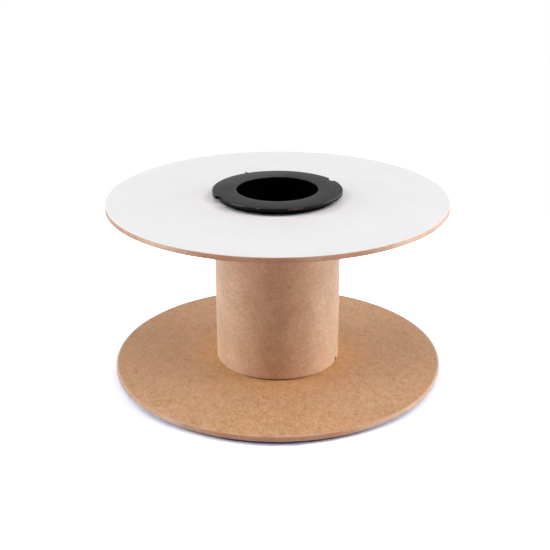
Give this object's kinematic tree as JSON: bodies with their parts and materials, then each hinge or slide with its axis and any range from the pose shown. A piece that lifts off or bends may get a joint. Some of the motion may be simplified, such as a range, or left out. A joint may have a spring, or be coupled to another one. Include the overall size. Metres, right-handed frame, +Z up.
{
  "type": "empty thread reel",
  "caption": "Empty reel with two round hardboard flanges on a paper tube core, plugged at both ends with a bore for a spindle.",
  "frame": {"origin": "centre of the lower plug's face, which the reel stands on", "axes": "+Z up the reel's axis, +X towards the right of the pictured view, +Y away from it"},
  "size_m": [0.2, 0.2, 0.114],
  "materials": {
    "plug_plastic": "moulded, lightly scuffed",
    "white_facing": "smooth satin coated paper",
    "hardboard": "raw smooth hardboard, fine felted fibre",
    "kraft_wrap": "smooth matt kraft paper",
    "core_board": "raw spirally wound board"
  },
  "bodies": {
    "root": {"bottom_plug": "plug_plastic", "bottom_facing": "white_facing", "bottom_board": "hardboard", "core_liner": "core_board", "core_plies": "core_board", "core_wrap": "kraft_wrap", "top_board": "hardboard", "top_facing": "white_facing", "top_plug": "plug_plastic"}
  },
  "joints": []
}
